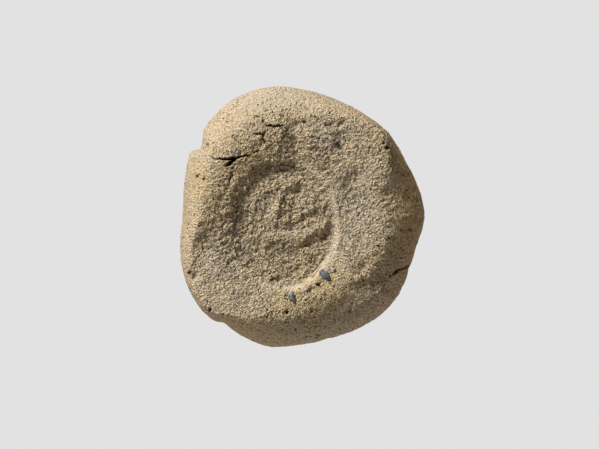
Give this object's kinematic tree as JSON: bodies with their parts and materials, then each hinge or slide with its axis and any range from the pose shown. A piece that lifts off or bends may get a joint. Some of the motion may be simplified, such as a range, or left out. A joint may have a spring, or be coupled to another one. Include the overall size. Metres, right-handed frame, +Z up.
{
  "type": "clay bulla",
  "caption": "Rounded lump of dried clay with a sunken oval stamp impression on its upper face and a flat underside to lie on.",
  "frame": {"origin": "middle of the lump's outline, on the surface that it lies on", "axes": "+Z up out of the impressed face, +Y towards the top of the impression, +X to its right"},
  "size_m": [0.0306, 0.0326, 0.0117],
  "materials": {
    "clay": "matt, coarse and porous buff clay, with small open pores, hairline cracks and a few dark stone chips"
  },
  "bodies": {
    "root": {"bulla": "clay"}
  },
  "joints": []
}
